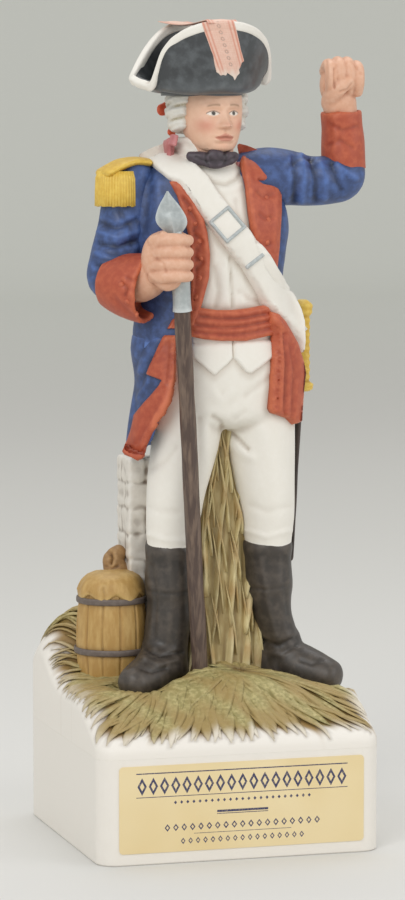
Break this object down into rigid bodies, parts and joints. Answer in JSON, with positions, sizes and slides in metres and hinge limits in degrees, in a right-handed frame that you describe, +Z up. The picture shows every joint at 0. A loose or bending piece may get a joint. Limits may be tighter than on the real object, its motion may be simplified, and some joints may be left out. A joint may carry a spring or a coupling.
{
  "type": "decanter",
  "caption": "Ceramic figural decanter: a soldier in a tricorne and blue coat holds a spontoon and raises a fist on a grassy square plinth; the head lifts off as the stopper.",
  "frame": {"origin": "centre of the square plinth's flat underside, on the table", "axes": "+Z up; the soldier and the label face -Y; +X is the figure's own left, the viewer's right"},
  "size_m": [0.1277, 0.1164, 0.3298],
  "materials": {
    "bisque_white": "matt unglazed porcelain with a brown wash in the hollows",
    "grass_paint": "matt olive and ochre underglaze over white porcelain",
    "gold_foil": "satin gold foil paper label",
    "charcoal_paint": "matt charcoal paint",
    "keg_paint": "matt ochre brown paint",
    "hoop_paint": "matt grey paint",
    "blue_paint": "matt blue paint, darker in the folds",
    "red_paint": "matt brick red paint",
    "silver_paint": "satin grey paint",
    "pole_paint": "matt taupe paint",
    "yellow_paint": "matt golden yellow paint",
    "skin_paint": "matt skin tone paint",
    "hair_paint": "matt white with an ochre wash",
    "plum_paint": "matt plum black paint",
    "cork": "raw cork",
    "strip_paper": "pale pink printed paper"
  },
  "bodies": {
    "decanter": {"plinth": "bisque_white", "mound": "grass_paint", "gold_label": "gold_foil", "breeches": "bisque_white", "right_boot": "charcoal_paint", "left_boot": "charcoal_paint", "stone_wall": "bisque_white", "grass_sheaf": "grass_paint", "powder_keg": "keg_paint", "lower_keg_hoop": "hoop_paint", "upper_keg_hoop": "hoop_paint", "waistcoat_torso": "bisque_white", "coat_body": "blue_paint", "right_lapel": "red_paint", "left_lapel": "red_paint", "waist_sash": "red_paint", "shoulder_belt": "bisque_white", "belt_buckle": "silver_paint", "belt_keeper": "silver_paint", "coat_skirt": "blue_paint", "skirt_facing": "red_paint", "coat_collar": "red_paint", "sash_tail": "red_paint", "right_sleeve": "blue_paint", "left_sleeve": "blue_paint", "right_cuff": "red_paint", "left_cuff": "red_paint", "epaulette": "yellow_paint", "spontoon_head": "silver_paint", "spontoon_shaft": "pole_paint", "right_hand": "skin_paint", "left_fist": "skin_paint", "sword_hilt": "yellow_paint", "sword_scabbard": "charcoal_paint"},
    "stopper": {"cork": "cork", "neck_stock": "bisque_white", "head": "skin_paint", "hair": "hair_paint", "hair_ribbon": "red_paint", "neck_bow": "plum_paint", "hat_crown": "charcoal_paint", "hat_brim": "charcoal_paint", "hat_trim": "bisque_white", "revenue_strip": "strip_paper"}
  },
  "joints": [
    {"name": "stopper_lift", "type": "slide", "parent": "decanter", "child": "stopper", "axis": [0, 0, 1], "range_m": [0, 0.04]}
  ]
}
